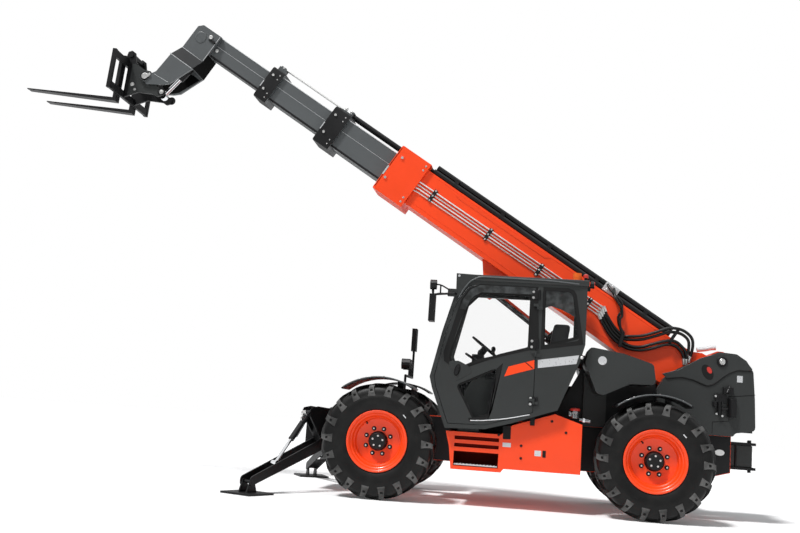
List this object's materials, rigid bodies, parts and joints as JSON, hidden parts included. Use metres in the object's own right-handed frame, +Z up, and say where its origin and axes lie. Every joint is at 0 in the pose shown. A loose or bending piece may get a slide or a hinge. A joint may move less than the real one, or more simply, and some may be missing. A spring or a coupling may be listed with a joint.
{
  "type": "telehandler",
  "caption": "Telescopic handler with a side cab, raised multi-section boom with pallet forks, four steered wheels and front stabilisers.",
  "frame": {"origin": "on the floor, under the middle of the whole part's box, on the machine's centre plane", "axes": "+X forward along the machine, +Y to its left (cab side), +Z up"},
  "size_m": [9.2726, 3.7792, 5.7633],
  "materials": {
    "black_paint": "satin paint",
    "amber_lens": "gloss",
    "orange_paint": "satin gloss paint",
    "boom_grey_paint": "satin paint",
    "dark_grey_paint": "satin paint",
    "black_plastic": "matt",
    "clear_glass": "clear",
    "chromed_rod": "polished",
    "tyre_rubber": "matt rubber"
  },
  "bodies": {
    "chassis": {"axle_front": "black_paint", "axle_rear": "black_paint", "beacon": "amber_lens", "cab_roof": "dark_grey_paint", "cab_shell": "dark_grey_paint", "chassis_frame": "orange_paint", "console_steering_wheel": "black_plastic", "engine": "black_paint", "engine_room_wall": "black_paint", "lamp_mirror_stand_right": "black_paint", "mirror_left": "black_paint", "quarter_window": "clear_glass", "rear_body_left": "dark_grey_paint", "rear_body_right": "dark_grey_paint", "rear_tower": "dark_grey_paint", "rear_window": "clear_glass", "right_window": "clear_glass", "seat": "black_plastic", "stabiliser_frame": "black_paint", "tow_hitch": "black_paint", "windscreen": "clear_glass"},
    "boom_base": {"boom_base": "orange_paint", "boom_guide_tubes": "black_paint"},
    "boom_section_2": {"boom_section_2": "boom_grey_paint"},
    "boom_section_3": {"boom_section_3": "boom_grey_paint"},
    "boom_section_4": {"boom_section_4_head": "boom_grey_paint"},
    "coupler": {"coupler_carriage": "black_paint", "fork_left": "black_paint", "fork_right": "black_paint"},
    "lift_barrel": {"lift_barrel": "black_paint"},
    "lift_rod": {"lift_rod": "chromed_rod"},
    "tilt_barrel": {"tilt_barrel": "black_paint"},
    "tilt_rod": {"tilt_rod": "chromed_rod"},
    "cab_door": {"cab_door": "dark_grey_paint", "door_window": "clear_glass", "door_low_glass": "clear_glass"},
    "engine_hood": {"engine_hood": "dark_grey_paint"},
    "stabiliser_leg_left": {"stabiliser_leg_left": "black_paint"},
    "stabiliser_pad_left": {"stabiliser_pad_left": "black_paint"},
    "stabiliser_barrel_left": {"stabiliser_left_barrel": "black_paint"},
    "stabiliser_rod_left": {"stabiliser_left_rod": "chromed_rod"},
    "stabiliser_leg_right": {"stabiliser_leg_right": "black_paint"},
    "stabiliser_pad_right": {"stabiliser_pad_right": "black_paint"},
    "stabiliser_barrel_right": {"stabiliser_right_barrel": "black_paint"},
    "stabiliser_rod_right": {"stabiliser_right_rod": "chromed_rod"},
    "knuckle_front_left": {"knuckle_fender_front_left": "black_paint"},
    "wheel_front_left": {"rim_front_left": "orange_paint", "tyre_front_left": "tyre_rubber"},
    "knuckle_front_right": {"knuckle_fender_front_right": "black_paint"},
    "wheel_front_right": {"rim_front_right": "orange_paint", "tyre_front_right": "tyre_rubber"},
    "knuckle_rear_left": {"knuckle_fender_rear_left": "black_paint"},
    "wheel_rear_left": {"rim_rear_left": "orange_paint", "tyre_rear_left": "tyre_rubber"},
    "knuckle_rear_right": {"knuckle_fender_rear_right": "black_paint"},
    "wheel_rear_right": {"rim_rear_right": "orange_paint", "tyre_rear_right": "tyre_rubber"}
  },
  "joints": [
    {"name": "boom_lift", "type": "hinge", "parent": "chassis", "child": "boom_base", "pos_m": [-4.17626, 0, 1.78], "axis": [0, -1, 0], "range_deg": [-34, 38]},
    {"name": "boom_telescope_2", "type": "slide", "parent": "boom_base", "child": "boom_section_2", "axis": [0.8434, 0, 0.5373], "range_m": [-0.7, 2.3]},
    {"name": "boom_telescope_3", "type": "slide", "parent": "boom_section_2", "child": "boom_section_3", "axis": [0.8434, 0, 0.5373], "range_m": [-0.77, 2.53]},
    {"name": "boom_telescope_4", "type": "slide", "parent": "boom_section_3", "child": "boom_section_4", "axis": [0.8434, 0, 0.5373], "range_m": [-0.602, 1.978]},
    {"name": "fork_tilt", "type": "hinge", "parent": "boom_section_4", "child": "coupler", "pos_m": [3.10337, 0, 5.03038], "axis": [0, 1, 0], "range_deg": [-45, 75]},
    {"name": "lift_cylinder_swing", "type": "hinge", "parent": "chassis", "child": "lift_barrel", "pos_m": [-3.73626, 0, 0.9], "axis": [0, -1, 0], "range_deg": [-31.82, 35.57]},
    {"name": "lift_cylinder_extend", "type": "slide", "parent": "lift_barrel", "child": "lift_rod", "axis": [0.8111, 0, 0.5849], "range_m": [-0.5415, 0.6052]},
    {"name": "tilt_cylinder_swing", "type": "hinge", "parent": "boom_section_4", "child": "tilt_barrel", "pos_m": [2.37484, 0, 5.45552], "axis": [0, 1, 0], "range_deg": [-7.5, 4.5]},
    {"name": "tilt_cylinder_extend", "type": "slide", "parent": "tilt_barrel", "child": "tilt_rod", "axis": [0.6589, 0, -0.7523], "range_m": [-0.2356, 0.1414]},
    {"name": "stabiliser_left", "type": "hinge", "parent": "chassis", "child": "stabiliser_leg_left", "pos_m": [0.35374, 0.5, 0.58], "axis": [0.9063, -0.4226, 0], "range_deg": [0, 78]},
    {"name": "stabiliser_ankle_left", "type": "hinge", "parent": "stabiliser_leg_left", "child": "stabiliser_pad_left", "pos_m": [0.87779, 1.62382, 0.13], "axis": [0.9063, -0.4226, 0], "range_deg": [-20, 20]},
    {"name": "stabiliser_cylinder_swing_left", "type": "hinge", "parent": "chassis", "child": "stabiliser_barrel_left", "pos_m": [0.47207, 0.75377, 0.88], "axis": [0.9063, -0.4226, 0], "range_deg": [0, 117.78]},
    {"name": "stabiliser_cylinder_extend_left", "type": "slide", "parent": "stabiliser_barrel_left", "child": "stabiliser_rod_left", "axis": [0.2927, 0.6276, -0.7214], "range_m": [-0.3088, 0]},
    {"name": "stabiliser_right", "type": "hinge", "parent": "chassis", "child": "stabiliser_leg_right", "pos_m": [0.35374, -0.5, 0.58], "axis": [-0.9063, -0.4226, 0], "range_deg": [0, 78]},
    {"name": "stabiliser_ankle_right", "type": "hinge", "parent": "stabiliser_leg_right", "child": "stabiliser_pad_right", "pos_m": [0.87779, -1.62382, 0.13], "axis": [-0.9063, -0.4226, 0], "range_deg": [-20, 20]},
    {"name": "stabiliser_cylinder_swing_right", "type": "hinge", "parent": "chassis", "child": "stabiliser_barrel_right", "pos_m": [0.47207, -0.75377, 0.88], "axis": [-0.9063, -0.4226, 0], "range_deg": [0, 117.78]},
    {"name": "stabiliser_cylinder_extend_right", "type": "slide", "parent": "stabiliser_barrel_right", "child": "stabiliser_rod_right", "axis": [0.2927, -0.6276, -0.7214], "range_m": [-0.3088, 0]},
    {"name": "cab_door_hinge", "type": "hinge", "parent": "chassis", "child": "cab_door", "pos_m": [-2.07706, 1.118, 0.83], "axis": [0, 0, 1], "range_deg": [0, 95]},
    {"name": "engine_hood_hinge", "type": "hinge", "parent": "chassis", "child": "engine_hood", "pos_m": [-2.61626, -0.37, 1.42], "axis": [-1, 0, 0], "range_deg": [0, 60]},
    {"name": "steer_front_left", "type": "hinge", "parent": "chassis", "child": "knuckle_front_left", "pos_m": [-0.39626, 0.75, 0.63375], "axis": [0, 0, 1], "range_deg": [-34, 34]},
    {"name": "wheel_front_left_spin", "type": "hinge", "parent": "knuckle_front_left", "child": "wheel_front_left", "pos_m": [-0.39626, 0.98, 0.63375], "axis": [0, 1, 0], "continuous": true},
    {"name": "steer_front_right", "type": "hinge", "parent": "chassis", "child": "knuckle_front_right", "pos_m": [-0.39626, -0.75, 0.63375], "axis": [0, 0, 1], "range_deg": [-34, 34]},
    {"name": "wheel_front_right_spin", "type": "hinge", "parent": "knuckle_front_right", "child": "wheel_front_right", "pos_m": [-0.39626, -0.98, 0.63375], "axis": [0, 1, 0], "continuous": true},
    {"name": "steer_rear_left", "type": "hinge", "parent": "chassis", "child": "knuckle_rear_left", "pos_m": [-3.38626, 0.75, 0.63375], "axis": [0, 0, 1], "range_deg": [-34, 34]},
    {"name": "wheel_rear_left_spin", "type": "hinge", "parent": "knuckle_rear_left", "child": "wheel_rear_left", "pos_m": [-3.38626, 0.98, 0.63375], "axis": [0, 1, 0], "continuous": true},
    {"name": "steer_rear_right", "type": "hinge", "parent": "chassis", "child": "knuckle_rear_right", "pos_m": [-3.38626, -0.75, 0.63375], "axis": [0, 0, 1], "range_deg": [-34, 34]},
    {"name": "wheel_rear_right_spin", "type": "hinge", "parent": "knuckle_rear_right", "child": "wheel_rear_right", "pos_m": [-3.38626, -0.98, 0.63375], "axis": [0, 1, 0], "continuous": true}
  ],
  "couplings": [
    {"joint": "boom_telescope_3", "follows": "boom_telescope_2", "ratio": 1.1},
    {"joint": "boom_telescope_4", "follows": "boom_telescope_2", "ratio": 0.86},
    {"joint": "lift_cylinder_swing", "follows": "boom_lift", "ratio": 0.936},
    {"joint": "lift_cylinder_extend", "follows": "boom_lift", "m_per_rad": 0.9125},
    {"joint": "tilt_cylinder_swing", "follows": "fork_tilt", "ratio": -0.1},
    {"joint": "tilt_cylinder_extend", "follows": "fork_tilt", "m_per_rad": -0.18},
    {"joint": "stabiliser_cylinder_swing_left", "follows": "stabiliser_left", "ratio": 1.51},
    {"joint": "stabiliser_cylinder_extend_left", "follows": "stabiliser_left", "m_per_rad": -0.2268},
    {"joint": "stabiliser_cylinder_swing_right", "follows": "stabiliser_right", "ratio": 1.51},
    {"joint": "stabiliser_cylinder_extend_right", "follows": "stabiliser_right", "m_per_rad": -0.2268},
    {"joint": "steer_front_right", "follows": "steer_front_left", "ratio": 1},
    {"joint": "steer_rear_right", "follows": "steer_rear_left", "ratio": 1}
  ]
}
